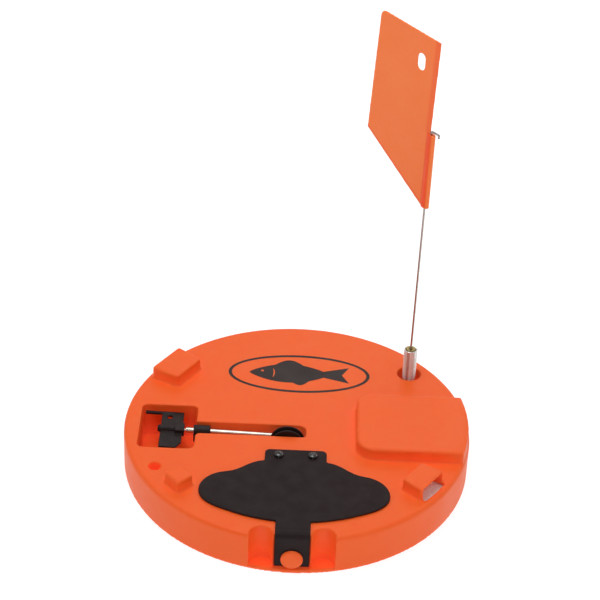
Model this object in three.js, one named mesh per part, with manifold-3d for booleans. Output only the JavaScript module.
// Round insulated ice fishing tip-up: a moulded disc that covers the hole, with a stowed trip shaft and
// spool, a flag on a coil spring, and a flexible cover over a tackle recess.
// Millimetres. Origin at the centre of the underside, +Z up, the pull tab faces -Y, the box is at +X.
import * as THREE from "three";
import { mergeVertices } from "three/addons/utils/BufferGeometryUtils.js";
import Module from "manifold-3d";

const wasm = await Module();
wasm.setup();

// ---- Driving dimensions ----
const GAP = 0.3; // between pieces that touch on the real object
const WALL = 2.6;
const DISC = { radius: 140, deck: 33, skin: 3, rimRound: 3.2, facets: 96 };
const POCKET = { x0: -127, x1: -81.6, y0: -35, y1: 21, corner: 5, floor: 2.5 };
const SLOT = { x1: 7.4, y0: -14.3, y1: 0.5, corner: 6.4, frontCorner: 2.5, mouth: 4 };
const SMALL_HOLE = { x: -110.4, y: -58.7, radius: 4.9 };
const BOX = { x0: 48, y0: -40, y1: 35, top: 43.5, edgeRadius: 138.6, corner: 14, round: 2.5 };
const LARGE_BLOCK = { r: 122, degrees: 146.9, long: 36, deep: 26.4, top: 43.4, corner: 2.4, flare: 0.0048 };
const SMALL_BLOCK = { r: 119.6, degrees: 221.3, long: 18.7, deep: 16.4, top: 43, corner: 2.2, flare: 0.006 };
const HOOD = { r: 121.1, degrees: -35, long: 30.2, deep: 20.8, top: 43.2, corner: 2.2, flare: 0.006 };
const HOOD_OPENING = { wall: 1.5, holeRadius: 134.2 };
const BLOCK_DRAFT = 0.1;
const BLOCK_ROUND = 1.4;
const BURIED = 8; // how far the raised shapes reach down into the deck before the shell is hollowed
const SOCKET = { x: 92.8, y: 78.7, radius: 9.75, floor: 10 };
const SCOOP = { x: 23.8, y: -133.8, radius: 9.2, floor: 3 };
const LAND = { half: 14.3, y: -135, chamfer: 2.7, floor: 3 };
const FOAM = { radius: 136.6, top: 29.7 };

const FLAP = { thick: 1.8, rearY: -33.7, neckHalf: 24.5, hingeY: -46.8, frontRadius: 120.8, corner: 4 };
const COVER = { shoulderY: -48, waistX: 42, wingX: 74.3, wingY: -86, frontX: 50 };
const TAB = { half: 13.4, creaseY: -132.8, outerY: -137.2, tip: 4.1, holeRadius: 6 };
const BUTTON = { z: 11.9, radius: 8.6, neck: 5.6, shank: 4, faceY: -140, innerY: -130.6 };
const BUTTON_EDGE = { rim: 0.8, dome: 1.6 };
const RECESS = { floor: 16, inset: 4, rearY: -54, neck: 30, frontX: 48 };
const SCREW = { x: 13.5, y: -41.5, head: 3.85, headHeight: 2.4, shank: 1.7, tip: 22 };
const SCREW_CROSS = { half: 2.1, wide: 0.45, deep: 1.2 };
const BOSS = { radius: 4.6, z0: 18 };

const PIVOT = { x: -78, z: 21.7, pin: 1.2, bore: 1.5 };
const SHAFT = { y: -4.7, rise: 5.5, tilt: THREE.MathUtils.degToRad(1.7) };
const TUBE = { x0: -10.8, x1: 81.4, outer: 2.4, inner: 2 };
const BUSHING = { inside: 5, rim: 0.7, running: 0.2 };
const ROD = { radius: 1, x0: -31, x1: 84.6, finger: 2.3 };
const COLLAR = { x0: -5.8, x1: 7.7, radius: 4.8, lugX1: 4, lugHalf: 3.5, lugZ0: -3.4 };
const HEAD = { x0: -32.8, x1: -14.9, half: 22.9, thick: 1.8, cutX: 4.5, cutY: 7 };
const HEAD_HOLE = { x: -26.2, y: 15.8, radius: 2.2 };
const HEAD_HUB = { radius: 3.2, past: 2.2, nose: 1.2 };
const HEAD_PIN = { radius: 1.5, past: 13.6, buried: 10 };
const HEAD_BLOCK = { x0: -20.9, x1: -13.4, half: 5.2, z0: -3, z1: 3.3 };
const SPOOL = { x: 70.5, rise: -0.5, y0: -13.9, y1: -8.3, flange: 1.2, rear: 14, front: 13.1 };
const SPOOL_HUB = { core: 11, bore: 2.8, headRoom: 3.5, sunk: 1.2 };
const BRACKET = { x0: 64.7, x1: 76.1, half: 3.3, foot: 2.2, boss: 2.5, bossY: -12.7, thread: 1.3 };
const SPOOL_SCREW = { shank: 1, head: 3.1, tipY: -9.4, gap: 0.2 };

const SPRING = { outer: 5.7, inner: 4.6, z0: 10.4, top: 58.8 };
const STUD = { radius: 4.2, top: 30 };
const FERRULE = { radius: 4.25, z0: 49, z1: 58.9, round: 0.6 };
const WIRE = { radius: 0.85, lean: 0.01, z0: 50.5 };
const HOOK = { top: 265.8, reach: 8, drop: 4, turn: 1.6 };
const PANEL = { yaw: THREE.MathUtils.degToRad(46), thick: 1.2, corner: 5 };
const PANEL_TOP = { edge: -1.3, z: 341.7, width: 62.9, peak: 346.3 };
const PANEL_LOWER = { edge: 1.2, width: 68.6, z: 241.1 };
const SLEEVE = { z0: 197.4, z1: 262.9, radius: 4, bore: 1.15 };
const PANEL_HOLE = { u: 16.9, z: 319.4, half: 4, length: 14.3 };

// ---- Shapes ----
const FINE = 32;
const COARSE = 20;

// A closed geometry as a manifold-3d solid.
function solid(geometry) {
  const bare = geometry.index ? geometry.toNonIndexed() : geometry.clone();
  bare.deleteAttribute("normal");
  bare.deleteAttribute("uv");
  const merged = mergeVertices(bare, 1e-4);
  return new wasm.Manifold(
    new wasm.Mesh({
      numProp: 3,
      vertProperties: merged.attributes.position.array,
      triVerts: new Uint32Array(merged.index.array),
    }),
  );
}

// A solid turned about Z from a profile of [radius, z] points, listed from the bottom up.
function turned(profile, facets = FINE) {
  const points = profile.map(([r, z]) => new THREE.Vector2(r, z));
  return new THREE.LatheGeometry(points, facets).rotateX(Math.PI / 2);
}

function rodZ(radius, z0, z1, facets = COARSE) {
  const height = z1 - z0;
  return new THREE.CylinderGeometry(radius, radius, height, facets)
    .rotateX(Math.PI / 2)
    .translate(0, 0, z0 + height / 2);
}

function rodX(radius, x0, x1, facets = COARSE) {
  return rodZ(radius, x0, x1, facets).rotateY(Math.PI / 2);
}

function rodY(radius, y0, y1, facets = COARSE) {
  return rodZ(radius, -y1, -y0, facets).rotateX(Math.PI / 2);
}

function block(x0, x1, y0, y1, z0, z1) {
  const box = new THREE.BoxGeometry(x1 - x0, y1 - y0, z1 - z0);
  return box.translate((x0 + x1) / 2, (y0 + y1) / 2, (z0 + z1) / 2);
}

function joined(solids) {
  return solids.reduce((all, one) => all.add(one));
}

// An outline pushed up from z0 to z1. A round softens both ends without widening the outline.
function raised(outline, z0, z1, round = 0, steps = 3, curveSegments = 8) {
  return new THREE.ExtrudeGeometry(outline, {
    depth: z1 - z0 - 2 * round,
    bevelEnabled: round > 0,
    bevelThickness: round,
    bevelSize: round,
    bevelOffset: -round,
    bevelSegments: steps,
    curveSegments,
  }).translate(0, 0, z0 + round);
}

function roundedRectangle(x0, x1, y0, y1, corner) {
  const outline = new THREE.Shape();
  outline.moveTo(x0 + corner, y0);
  outline.lineTo(x1 - corner, y0);
  outline.absarc(x1 - corner, y0 + corner, corner, -Math.PI / 2, 0);
  outline.lineTo(x1, y1 - corner);
  outline.absarc(x1 - corner, y1 - corner, corner, 0, Math.PI / 2);
  outline.lineTo(x0 + corner, y1);
  outline.absarc(x0 + corner, y1 - corner, corner, Math.PI / 2, Math.PI);
  outline.lineTo(x0, y0 + corner);
  outline.absarc(x0 + corner, y0 + corner, corner, Math.PI, 1.5 * Math.PI);
  return outline;
}

// Moves a solid made around the origin out to radius r, with its own +X pointing away from the centre.
function outAt(geometry, { r, degrees }) {
  return geometry.translate(r, 0, 0).rotateZ(THREE.MathUtils.degToRad(degrees));
}

// Widens a geometry along its own Y the further it lies from the disc's centre, as the block it belongs to.
function flared(geometry, { flare }) {
  const place = geometry.attributes.position;
  for (let i = 0; i < place.count; i++) place.setY(i, place.getY(i) * (1 + flare * place.getX(i)));
  return geometry;
}

// Narrows a geometry about its own Z axis as it rises above z0.
function drafted(geometry, z0) {
  const place = geometry.attributes.position;
  for (let i = 0; i < place.count; i++) {
    const rise = Math.max(0, place.getZ(i) - z0);
    const long = Math.hypot(place.getX(i), place.getY(i));
    const scale = 1 - (BLOCK_DRAFT * rise) / long;
    place.setX(i, place.getX(i) * scale);
    place.setY(i, place.getY(i) * scale);
  }
  return geometry;
}

// ---- The moulded base and its foam ----
function discBody() {
  const { radius, deck, rimRound, facets } = DISC;
  const profile = [[0, 0], [radius, 0]];
  const steps = 4;
  for (let i = 0; i <= steps; i++) {
    const a = (i / steps) * (Math.PI / 2);
    profile.push([radius - rimRound * (1 - Math.cos(a)), deck - rimRound * (1 - Math.sin(a))]);
  }
  profile.push([0, deck]);
  return solid(turned(profile, facets));
}

// The raised box: square towards the middle with rounded corners, and along the rim on its outer side.
function boxOutline(inset) {
  const x0 = BOX.x0 + inset;
  const y0 = BOX.y0 + inset;
  const y1 = BOX.y1 - inset;
  const edge = BOX.edgeRadius - inset;
  const corner = BOX.corner - inset;
  const outline = new THREE.Shape();
  outline.moveTo(x0 + corner, y0);
  outline.absarc(0, 0, edge, Math.asin(y0 / edge), Math.asin(y1 / edge));
  outline.lineTo(x0 + corner, y1);
  outline.absarc(x0 + corner, y1 - corner, corner, Math.PI / 2, Math.PI);
  outline.lineTo(x0, y0 + corner);
  outline.absarc(x0 + corner, y0 + corner, corner, Math.PI, 1.5 * Math.PI);
  return outline;
}

function padBlock(one, inset, z0) {
  const { long, deep, top, corner } = one;
  const halfDeep = deep / 2 - inset;
  const halfLong = long / 2 - inset;
  const outline = roundedRectangle(-halfDeep, halfDeep, -halfLong, halfLong, corner);
  const round = inset ? 0 : BLOCK_ROUND;
  return drafted(flared(raised(outline, z0, top - inset, round, 2, 5), one), DISC.deck);
}

// A space inside the hood that runs out past its open side.
function inHood(z0, z1) {
  const inset = HOOD_OPENING.wall + BLOCK_DRAFT * (HOOD.top - DISC.deck);
  const side = HOOD.long / 2 - inset;
  return flared(block(inset - HOOD.deep / 2, HOOD.deep, -side, side, z0, z1), HOOD);
}

// The tray under the cover: a neck at the rear, a wing to each side and a round front.
function recessOutline(grow) {
  const inset = RECESS.inset - grow;
  const { frontX } = RECESS;
  const front = FLAP.frontRadius - inset;
  const frontY = -Math.sqrt(front ** 2 - frontX ** 2);
  const rear = RECESS.rearY - inset;
  const neck = RECESS.neck - inset;
  const wing = COVER.wingX - inset;
  const wingY = COVER.wingY;
  const shoulder = 55 - inset / 2;
  const shoulderY = -64.5 - inset;
  const outline = new THREE.Shape();
  outline.moveTo(-neck, rear);
  outline.lineTo(neck, rear);
  outline.bezierCurveTo(neck + 12, rear - 4, neck + 18, shoulderY + 0.5, shoulder, shoulderY);
  outline.bezierCurveTo(shoulder + 11, shoulderY - 1.5, wing, wingY + 11, wing, wingY);
  outline.bezierCurveTo(wing, wingY - 12 + inset / 2, frontX + 14, frontY + 5, frontX, frontY);
  outline.absarc(0, 0, front, Math.atan2(frontY, frontX), Math.atan2(frontY, -frontX), true);
  outline.bezierCurveTo(-frontX - 14, frontY + 5, -wing, wingY - 12 + inset / 2, -wing, wingY);
  outline.bezierCurveTo(-wing, wingY + 11, -shoulder - 11, shoulderY - 1.5, -shoulder, shoulderY);
  outline.bezierCurveTo(-neck - 18, shoulderY + 0.5, -neck - 12, rear - 4, -neck, rear);
  return outline;
}

// Every hollow that opens through the deck: the space itself (grow 0), or that space with its walls.
function hollows(grow) {
  const wall = grow > 0;
  const above = wall ? DISC.deck - 1 : DISC.deck + 20;
  const below = -1;
  const outside = -DISC.radius - 5;
  const standingOn = (floor) => (wall ? below : floor); // its walls reach down to the underside
  const { x0, x1, y0, y1 } = POCKET;
  const pocket = roundedRectangle(x0 - grow, x1 + grow, y0 - grow, y1 + grow, POCKET.corner + grow);
  const slotX0 = x1 - SLOT.corner - 2 * grow;
  const slotX1 = SLOT.x1 + grow;
  const slotY0 = SLOT.y0 - grow;
  const slotMiddle = (SLOT.y0 + SLOT.y1) / 2;
  const slot = roundedRectangle(slotX0, slotX1, slotY0, SLOT.y1 + grow, SLOT.corner + grow);
  const slotFront = roundedRectangle(x1, slotX1, slotY0, slotMiddle + grow, SLOT.frontCorner + grow);
  const landHalf = LAND.half + grow;
  const parts = [
    raised(pocket, standingOn(POCKET.floor), above, 0, 1, 5),
    raised(slot, below, above, 0, 1, 5),
    raised(slotFront, below, above, 0, 1, 5),
    rodZ(SMALL_HOLE.radius + grow, below, above).translate(SMALL_HOLE.x, SMALL_HOLE.y, 0),
    rodZ(SOCKET.radius + grow, SOCKET.floor - grow, above, FINE).translate(SOCKET.x, SOCKET.y, 0),
    raised(recessOutline(grow), RECESS.floor - grow, above, 0, 1, 5),
    block(-landHalf, landHalf, outside, LAND.y + grow, standingOn(LAND.floor), above),
  ];
  const scoopFloor = standingOn(SCOOP.floor);
  const scoopHalf = SCOOP.radius + grow;
  for (const x of [-SCOOP.x, SCOOP.x]) {
    parts.push(rodZ(scoopHalf, scoopFloor, above, FINE).translate(x, SCOOP.y, 0));
    parts.push(block(x - scoopHalf, x + scoopHalf, outside, SCOOP.y, scoopFloor, above));
  }
  return wall ? joined(parts.map(solid)) : joined(parts.map(solid)).add(slotMouth(below, above));
}

// The rounded corner where the slot's front wall meets the pocket.
function slotMouth(z0, z1) {
  const { mouth } = SLOT;
  const x = POCKET.x1 + mouth;
  const y = SLOT.y0 - mouth;
  const corner = block(POCKET.x1 - 1, x, y, SLOT.y0 + 1, z0, z1);
  return solid(corner).subtract(solid(rodZ(mouth, z0 - 1, z1 + 1, FINE).translate(x, y, 0)));
}

// A rod where each screw of the cover goes.
function atScrews(radius, z0, z1) {
  const places = [-SCREW.x, SCREW.x];
  return joined(places.map((x) => solid(rodZ(radius, z0, z1).translate(x, SCREW.y, 0))));
}

function raisedShapes(inset, z0) {
  const boxRound = inset ? 0 : BOX.round;
  const shapes = [raised(boxOutline(inset), z0, BOX.top - inset, boxRound, 3, 10)];
  const blocks = inset ? [LARGE_BLOCK] : [LARGE_BLOCK, SMALL_BLOCK, HOOD];
  for (const one of blocks) shapes.push(outAt(padBlock(one, inset, z0), one));
  return joined(shapes.map(solid));
}

// The hood opens outwards, and its floor is a hole through the deck.
function hoodOpenings() {
  const { wall, holeRadius } = HOOD_OPENING;
  const low = DISC.deck - DISC.skin - 1;
  const hole = solid(outAt(inHood(low, DISC.deck + 1), HOOD));
  const mouth = solid(outAt(inHood(DISC.deck, HOOD.top - wall), HOOD));
  return hole.intersect(solid(rodZ(holeRadius, 0, HOOD.top, DISC.facets))).add(mouth);
}

// The corner over which the cover's tab folds.
function landCorner() {
  const { y, chamfer, half } = LAND;
  const corner = new THREE.Shape();
  corner.moveTo(y - 1, DISC.deck + 1);
  corner.lineTo(y - 1, DISC.deck - chamfer - 1);
  corner.lineTo(y + chamfer + 1, DISC.deck + 1);
  return solid(raised(corner, -half, half).rotateX(Math.PI / 2).rotateZ(Math.PI / 2));
}

function baseShell() {
  const underDeck = DISC.deck - DISC.skin;
  const cavity = solid(rodZ(DISC.radius - DISC.skin, -1, underDeck, DISC.facets));
  const walls = hollows(WALL).add(atScrews(BOSS.radius, BOSS.z0, underDeck + 1));
  const pinBore = rodY(PIVOT.bore, SLOT.y0 - WALL - 1, SLOT.y1 + WALL + 1);
  const buttonBore = rodY(BUTTON.shank + GAP, LAND.y - 1, BUTTON.innerY);
  return discBody()
    .add(raisedShapes(0, DISC.deck - BURIED))
    .subtract(cavity.add(raisedShapes(DISC.skin, underDeck - 1)))
    .add(walls.intersect(discBody()))
    .subtract(hollows(0))
    .subtract(atScrews(SCREW.shank + GAP, SCREW.tip - 1, DISC.deck + 1))
    .subtract(hoodOpenings())
    .subtract(landCorner())
    .subtract(solid(pinBore.translate(PIVOT.x, 0, PIVOT.z)))
    .subtract(solid(buttonBore.translate(0, 0, BUTTON.z)));
}

function foamInsulation() {
  const room = 8; // beside the button's shank
  const buttonRoom = block(-room, room, LAND.y, BUTTON.innerY + 1, BUTTON.z - room, BUTTON.z + room);
  return solid(rodZ(FOAM.radius, 0, FOAM.top, DISC.facets))
    .subtract(hollows(WALL + GAP))
    .subtract(atScrews(BOSS.radius + GAP, BOSS.z0 - GAP, DISC.deck))
    .subtract(solid(buttonRoom));
}

// ---- The cover over the tackle recess: one flexible sheet, in three stretches ----
const sheetZ0 = DISC.deck + GAP;
const sheetZ1 = sheetZ0 + FLAP.thick;

function hingeStrip() {
  const { rearY, neckHalf, hingeY, corner } = FLAP;
  const outline = new THREE.Shape();
  outline.moveTo(-neckHalf, hingeY + GAP);
  outline.lineTo(neckHalf, hingeY + GAP);
  outline.lineTo(neckHalf, rearY - corner);
  outline.absarc(neckHalf - corner, rearY - corner, corner, 0, Math.PI / 2);
  outline.lineTo(corner - neckHalf, rearY);
  outline.absarc(corner - neckHalf, rearY - corner, corner, Math.PI / 2, Math.PI);
  const holes = atScrews(SCREW.shank + GAP, sheetZ0 - 1, sheetZ1 + 1);
  return solid(raised(outline, sheetZ0, sheetZ1)).subtract(holes);
}

function flapCover() {
  const { neckHalf, hingeY, frontRadius } = FLAP;
  const { shoulderY, waistX, wingX, wingY, frontX } = COVER;
  const frontY = -Math.sqrt(frontRadius ** 2 - frontX ** 2);
  const tabY = -Math.sqrt(frontRadius ** 2 - TAB.half ** 2);
  const innerWing = waistX + 12;
  const innerWingY = -63.6;
  const outline = new THREE.Shape();
  outline.moveTo(-neckHalf, hingeY);
  outline.lineTo(-neckHalf, shoulderY);
  outline.bezierCurveTo(4 - waistX, shoulderY - 2, -waistX, innerWingY + 2.1, -innerWing, innerWingY);
  outline.bezierCurveTo(-innerWing - 12, innerWingY - 1.9, -wingX, wingY + 11, -wingX, wingY);
  outline.bezierCurveTo(-wingX, wingY - 12, -frontX - 14, frontY + 5.5, -frontX, frontY);
  outline.absarc(0, 0, frontRadius, Math.atan2(frontY, -frontX), Math.atan2(tabY, -TAB.half));
  outline.lineTo(-TAB.half, TAB.creaseY + GAP);
  outline.lineTo(TAB.half, TAB.creaseY + GAP);
  outline.lineTo(TAB.half, tabY);
  outline.absarc(0, 0, frontRadius, Math.atan2(tabY, TAB.half), Math.atan2(frontY, frontX));
  outline.bezierCurveTo(frontX + 14, frontY + 5.5, wingX, wingY - 12, wingX, wingY);
  outline.bezierCurveTo(wingX, wingY + 11, innerWing + 12, innerWingY - 1.9, innerWing, innerWingY);
  outline.bezierCurveTo(waistX, innerWingY + 2.1, waistX - 4, shoulderY - 2, neckHalf, shoulderY);
  outline.lineTo(neckHalf, hingeY);
  return solid(raised(outline, sheetZ0, sheetZ1, 0, 1, 8));
}

// The tab folds over the rim and hangs down the flat land. Its outline is drawn in the YZ plane.
function flapTab() {
  const { half, creaseY, outerY, tip, holeRadius } = TAB;
  const bend = creaseY - outerY;
  const bendZ = sheetZ1 - bend;
  const innerY = outerY + FLAP.thick;
  const outline = new THREE.Shape();
  outline.moveTo(creaseY, sheetZ1);
  outline.absarc(creaseY, bendZ, bend, Math.PI / 2, Math.PI);
  outline.lineTo(outerY, tip);
  outline.lineTo(innerY, tip);
  outline.lineTo(innerY, bendZ);
  outline.absarc(creaseY, bendZ, bend - FLAP.thick, Math.PI, Math.PI / 2, true);
  const sheet = raised(outline, -half, half, 0, 1, 6).rotateX(Math.PI / 2).rotateZ(Math.PI / 2);
  const hole = rodY(holeRadius, outerY - 1, innerY + 1, FINE).translate(0, 0, BUTTON.z);
  return solid(sheet).subtract(solid(hole));
}

function snapButton() {
  const { z, radius, neck, shank, faceY, innerY } = BUTTON;
  const { rim, dome } = BUTTON_EDGE;
  const back = TAB.outerY - GAP;
  const profile = [
    [0, -innerY],
    [shank, -innerY],
    [shank, -LAND.y + GAP],
    [neck, -LAND.y + GAP],
    [neck, -back],
    [radius, -back],
    [radius, -back + rim],
    [radius - dome, -faceY - rim / 2],
    [0, -faceY],
  ];
  return solid(turned(profile).rotateX(Math.PI / 2).translate(0, 0, z));
}

function flapScrew(x) {
  const { y, head, headHeight, shank, tip } = SCREW;
  const { half, wide, deep } = SCREW_CROSS;
  const z0 = sheetZ1 + GAP;
  const z1 = z0 + headHeight;
  const profile = [
    [0, tip - 0.5],
    [shank, tip + 1],
    [shank, z0],
    [head, z0],
    [head, z0 + headHeight / 2],
    [head - headHeight / 2, z1],
    [0, z1],
  ];
  const across = solid(block(-half, half, -wide, wide, z1 - deep, z1 + 1));
  const along = solid(block(-wide, wide, -half, half, z1 - deep, z1 + 1));
  return solid(turned(profile, COARSE)).subtract(across.add(along)).translate([x, y, 0]);
}

// ---- The trip shaft. In its group +X runs along the tube to the spool, and the origin is on the pivot pin.
const axisZ = SHAFT.rise;
const onAxis = (geometry) => geometry.translate(0, SHAFT.y, axisZ);

function shaftTube() {
  const { x0, x1, outer, inner } = TUBE;
  return solid(onAxis(rodX(outer, x0, x1))).subtract(solid(onAxis(rodX(inner, x0 - 1, x1 + 1))));
}

// A flanged bushing in the tube's end. Direction 1 faces the spool end, -1 the trip head.
function tubeBushing(endX, direction) {
  const sleeve = TUBE.inner - GAP / 2;
  const bore = ROD.radius + BUSHING.running;
  const { inside, rim } = BUSHING;
  const profile = [
    [bore, -inside],
    [sleeve, -inside],
    [sleeve, GAP],
    [TUBE.outer, GAP],
    [TUBE.outer, GAP + rim],
    [bore, GAP + rim],
    [bore, -inside],
  ];
  const bushing = turned(profile, COARSE).rotateY((direction * Math.PI) / 2).translate(endX, 0, 0);
  return solid(onAxis(bushing));
}

function pivotCollar() {
  const { x0, x1, radius, lugX1, lugHalf, lugZ0 } = COLLAR;
  const y = SHAFT.y;
  const lug = block(x0, lugX1, y - lugHalf, y + lugHalf, lugZ0, axisZ - 1);
  return solid(onAxis(rodX(radius, x0, x1, 28)))
    .add(solid(lug))
    .subtract(solid(onAxis(rodX(TUBE.outer + GAP, x0 - 1, x1 + 1))))
    .subtract(solid(rodY(PIVOT.bore, y - lugHalf - 1, y + lugHalf + 1)));
}

// The rod runs through the tube, turns the trip head at one end and ends in a bent finger beside the spool.
function tripRod() {
  const { radius, x0, x1, finger } = ROD;
  const tipRadius = radius * 0.9;
  const bent = rodY(tipRadius, -finger - tipRadius, 0, 16).translate(x1 - tipRadius, 0, 0);
  return solid(onAxis(rodX(radius, x0, x1 - tipRadius, 16))).add(solid(onAxis(bent)));
}

// A plate with a cut corner, a hub and clamp block on the rod, and a long pin along its rear edge.
function tripHead() {
  const { x0, x1, half, thick, cutX, cutY } = HEAD;
  const core = HEAD_BLOCK;
  const outline = new THREE.Shape();
  outline.moveTo(x0, -half);
  outline.lineTo(x1 - cutX, -half);
  outline.lineTo(x1, -half + cutY);
  outline.lineTo(x1, half);
  outline.lineTo(x0, half);
  const hole = new THREE.Path();
  hole.absarc(HEAD_HOLE.x, HEAD_HOLE.y, HEAD_HOLE.radius, 0, 2 * Math.PI, true);
  outline.holes.push(hole);
  const hub = HEAD_HUB;
  const hubEnd = x0 - hub.past;
  const pin = HEAD_PIN;
  const parts = [
    raised(outline, -thick, 0, 0, 1, 8),
    rodX(hub.radius, hubEnd + hub.nose, core.x0 + 1),
    rodX(hub.radius * 0.8, hubEnd, hubEnd + hub.nose + 1),
    block(core.x0, core.x1, -core.half, core.half, core.z0, core.z1),
    rodX(pin.radius, x0 - pin.past, x0 + pin.buried, 14).translate(0, half - pin.radius, -thick / 2),
  ];
  const rodRoom = rodX(ROD.radius + GAP, ROD.x0 - GAP, core.x1 + 1, 16);
  return joined(parts.map((part) => solid(onAxis(part)))).subtract(solid(onAxis(rodRoom)));
}

const spoolZ = axisZ + SPOOL.rise;

function spoolBracket() {
  const { x0, x1, half, foot, boss, bossY, thread } = BRACKET;
  const y = SHAFT.y;
  const body = block(x0, x1, y - half, y + half, axisZ - half - foot, axisZ + half);
  const axle = rodY(boss, bossY, y - half + 0.5).translate(SPOOL.x, 0, spoolZ);
  const threaded = rodY(thread, bossY - 1, SPOOL_SCREW.tipY + GAP, 12).translate(SPOOL.x, 0, spoolZ);
  return solid(body)
    .add(solid(axle))
    .subtract(solid(onAxis(rodX(TUBE.outer + GAP, x0 - 1, x1 + 1))))
    .subtract(solid(threaded));
}

// The spool and its screw are turned about Z, then laid down so that their Z points to -Y.
const alongSpool = (profile, facets) =>
  solid(turned(profile, facets).rotateX(Math.PI / 2).translate(SPOOL.x, 0, spoolZ));

function lineSpool() {
  const { flange, rear, front } = SPOOL;
  const { core, bore, headRoom, sunk } = SPOOL_HUB;
  const back = -SPOOL.y1;
  const face = -SPOOL.y0;
  const profile = [
    [bore, back],
    [rear, back],
    [rear, back + flange],
    [core, back + flange],
    [core, face - flange],
    [front, face - flange],
    [front, face],
    [headRoom, face],
    [headRoom, face - sunk],
    [bore, face - sunk],
    [bore, back],
  ];
  return alongSpool(profile, 40);
}

function spoolScrew() {
  const { shank, head, tipY, gap } = SPOOL_SCREW;
  const under = gap - BRACKET.bossY;
  const face = -SPOOL.y0 - gap;
  const profile = [
    [0, -tipY],
    [shank, -tipY],
    [shank, under],
    [head, under],
    [head, face - gap],
    [head - 2 * gap, face],
    [0, face],
  ];
  return alongSpool(profile, COARSE);
}

function pivotPin() {
  return solid(rodY(PIVOT.pin, SLOT.y0 - WALL, SLOT.y1 + WALL));
}

// ---- The flag ----
// Where the leaning line of the wire meets the ground.
const poleFootX = SOCKET.x - SPRING.top * WIRE.lean;

function springStud() {
  const { radius, top } = STUD;
  const z0 = SOCKET.floor + GAP;
  const profile = [[0, z0], [radius, z0], [radius, top - 1], [radius - 1, top], [0, top]];
  return solid(turned(profile, COARSE).translate(SOCKET.x, SOCKET.y, 0));
}

function flagSpring() {
  const { outer, inner, z0, top } = SPRING;
  const profile = [[inner, z0], [outer, z0], [outer, top], [inner, top], [inner, z0]];
  return solid(turned(profile, FINE).translate(SOCKET.x, SOCKET.y, 0));
}

function springFerrule() {
  const { radius, z0, z1, round } = FERRULE;
  const bore = SLEEVE.bore;
  const profile = [
    [bore, z0],
    [radius, z0],
    [radius, z1 - round],
    [radius - round, z1],
    [bore, z1],
    [bore, z0],
  ];
  return solid(turned(profile, COARSE).translate(SOCKET.x, SOCKET.y, 0));
}

// The wire stands in the pole frame: Z along the pole, X towards the panel's free edge.
function flagWire() {
  const { top, reach, drop, turn } = HOOK;
  const stub = 1;
  const v = (x, z) => new THREE.Vector3(x, 0, z);
  const path = new THREE.CurvePath();
  path.add(new THREE.LineCurve3(v(0, top - turn - stub), v(0, top - turn)));
  path.add(new THREE.QuadraticBezierCurve3(v(0, top - turn), v(0, top), v(-turn, top)));
  path.add(new THREE.LineCurve3(v(-turn, top), v(turn - reach, top)));
  path.add(new THREE.QuadraticBezierCurve3(v(turn - reach, top), v(-reach, top), v(-reach, top - turn)));
  path.add(new THREE.LineCurve3(v(-reach, top - turn), v(-reach, top - drop)));
  const section = new THREE.Shape();
  section.absarc(0, 0, WIRE.radius, 0, 2 * Math.PI);
  const hook = new THREE.ExtrudeGeometry(section, { steps: 24, curveSegments: 5, extrudePath: path });
  return solid(hook).add(solid(rodZ(WIRE.radius, WIRE.z0, top - turn - stub / 2, 10)));
}

function flagPanel() {
  const { thick, corner } = PANEL;
  const { radius, bore, z0, z1 } = SLEEVE;
  const outline = new THREE.Shape();
  outline.moveTo(PANEL_LOWER.edge, z0 + 1);
  outline.lineTo(PANEL_LOWER.edge, z1);
  outline.lineTo(PANEL_TOP.edge, PANEL_TOP.z);
  outline.absarc(PANEL_TOP.width - corner, PANEL_TOP.peak - corner, corner, Math.PI / 2, 0, true);
  outline.lineTo(PANEL_LOWER.width, PANEL_LOWER.z);
  outline.lineTo(radius, z0);
  const { u, z, half, length } = PANEL_HOLE;
  const rise = length / 2 - half;
  const hole = new THREE.Path();
  hole.absarc(u, z + rise, half, 0, Math.PI);
  hole.absarc(u, z - rise, half, Math.PI, 2 * Math.PI);
  outline.holes.push(hole);
  const sheet = raised(outline, -thick / 2, thick / 2, 0, 1, 6).rotateX(Math.PI / 2);
  return solid(sheet)
    .add(solid(rodZ(radius, z0, z1)))
    .subtract(solid(rodZ(bore, z0 - 1, z1 + 4, 12)));
}

// ---- Assembly ----
const orange = { color: 0xee5a22, roughness: 0.42, metalness: 0 };
const flagOrange = { color: 0xf0702f, roughness: 0.5, metalness: 0 };
const black = { color: 0x262222, roughness: 0.5, metalness: 0 };
const rubber = { color: 0x2b2525, roughness: 0.8, metalness: 0 };
const foam = { color: 0xf3efe9, roughness: 0.95, metalness: 0 };
const steel = { color: 0xc9c2bb, roughness: 0.25, metalness: 1 };
const brass = { color: 0x8d7a4c, roughness: 0.35, metalness: 1 };

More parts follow.
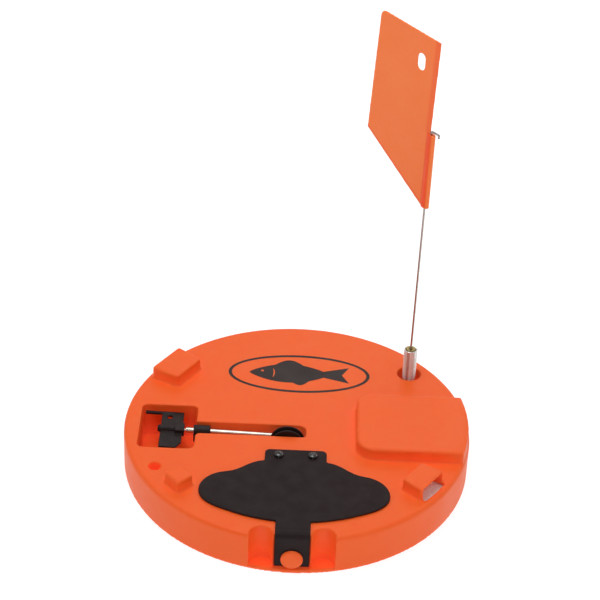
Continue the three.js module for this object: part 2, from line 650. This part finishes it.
function mesh(name, made, finish) {
  const data = made.getMesh();
  const geometry = new THREE.BufferGeometry();
  geometry.setAttribute("position", new THREE.BufferAttribute(data.vertProperties, data.numProp));
  geometry.setIndex(new THREE.BufferAttribute(data.triVerts, 1));
  geometry.computeVertexNormals();
  const one = new THREE.Mesh(geometry, new THREE.MeshStandardMaterial(finish));
  one.name = name;
  return one;
}

const base = new THREE.Group();
base.add(
  mesh("base_shell", baseShell(), orange),
  mesh("foam_insulation", foamInsulation(), foam),
  mesh("snap_button", snapButton(), orange),
);

const flap = new THREE.Group();
flap.add(
  mesh("flap_hinge_strip", hingeStrip(), rubber),
  mesh("flap_cover", flapCover(), rubber),
  mesh("flap_tab", flapTab(), rubber),
  mesh("flap_screw_left", flapScrew(-SCREW.x), black),
  mesh("flap_screw_right", flapScrew(SCREW.x), black),
);

const shaft = new THREE.Group();
shaft.position.set(PIVOT.x, 0, PIVOT.z);
shaft.rotation.y = SHAFT.tilt;
shaft.add(
  mesh("pivot_pin", pivotPin(), steel),
  mesh("pivot_collar", pivotCollar(), black),
  mesh("shaft_tube", shaftTube(), steel),
  mesh("tube_bushing_top", tubeBushing(TUBE.x0, -1), brass),
  mesh("tube_bushing_bottom", tubeBushing(TUBE.x1, 1), brass),
  mesh("trip_rod", tripRod(), steel),
  mesh("trip_head", tripHead(), black),
  mesh("spool_bracket", spoolBracket(), black),
  mesh("line_spool", lineSpool(), black),
  mesh("spool_screw", spoolScrew(), steel),
);

const pole = new THREE.Group();
pole.position.set(poleFootX, SOCKET.y, 0);
pole.rotation.order = "YXZ";
pole.rotation.y = Math.atan(WIRE.lean);
const poleTurn = new THREE.Group();
poleTurn.rotation.z = Math.PI - PANEL.yaw;
poleTurn.add(mesh("flag_wire", flagWire(), steel), mesh("flag_panel", flagPanel(), flagOrange));
pole.add(poleTurn);

const flag = new THREE.Group();
flag.add(
  mesh("spring_stud", springStud(), steel),
  mesh("flag_spring", flagSpring(), steel),
  mesh("spring_ferrule", springFerrule(), brass),
  pole,
);

const tipUp = new THREE.Group();
tipUp.add(base, flap, shaft, flag);

export default tipUp;
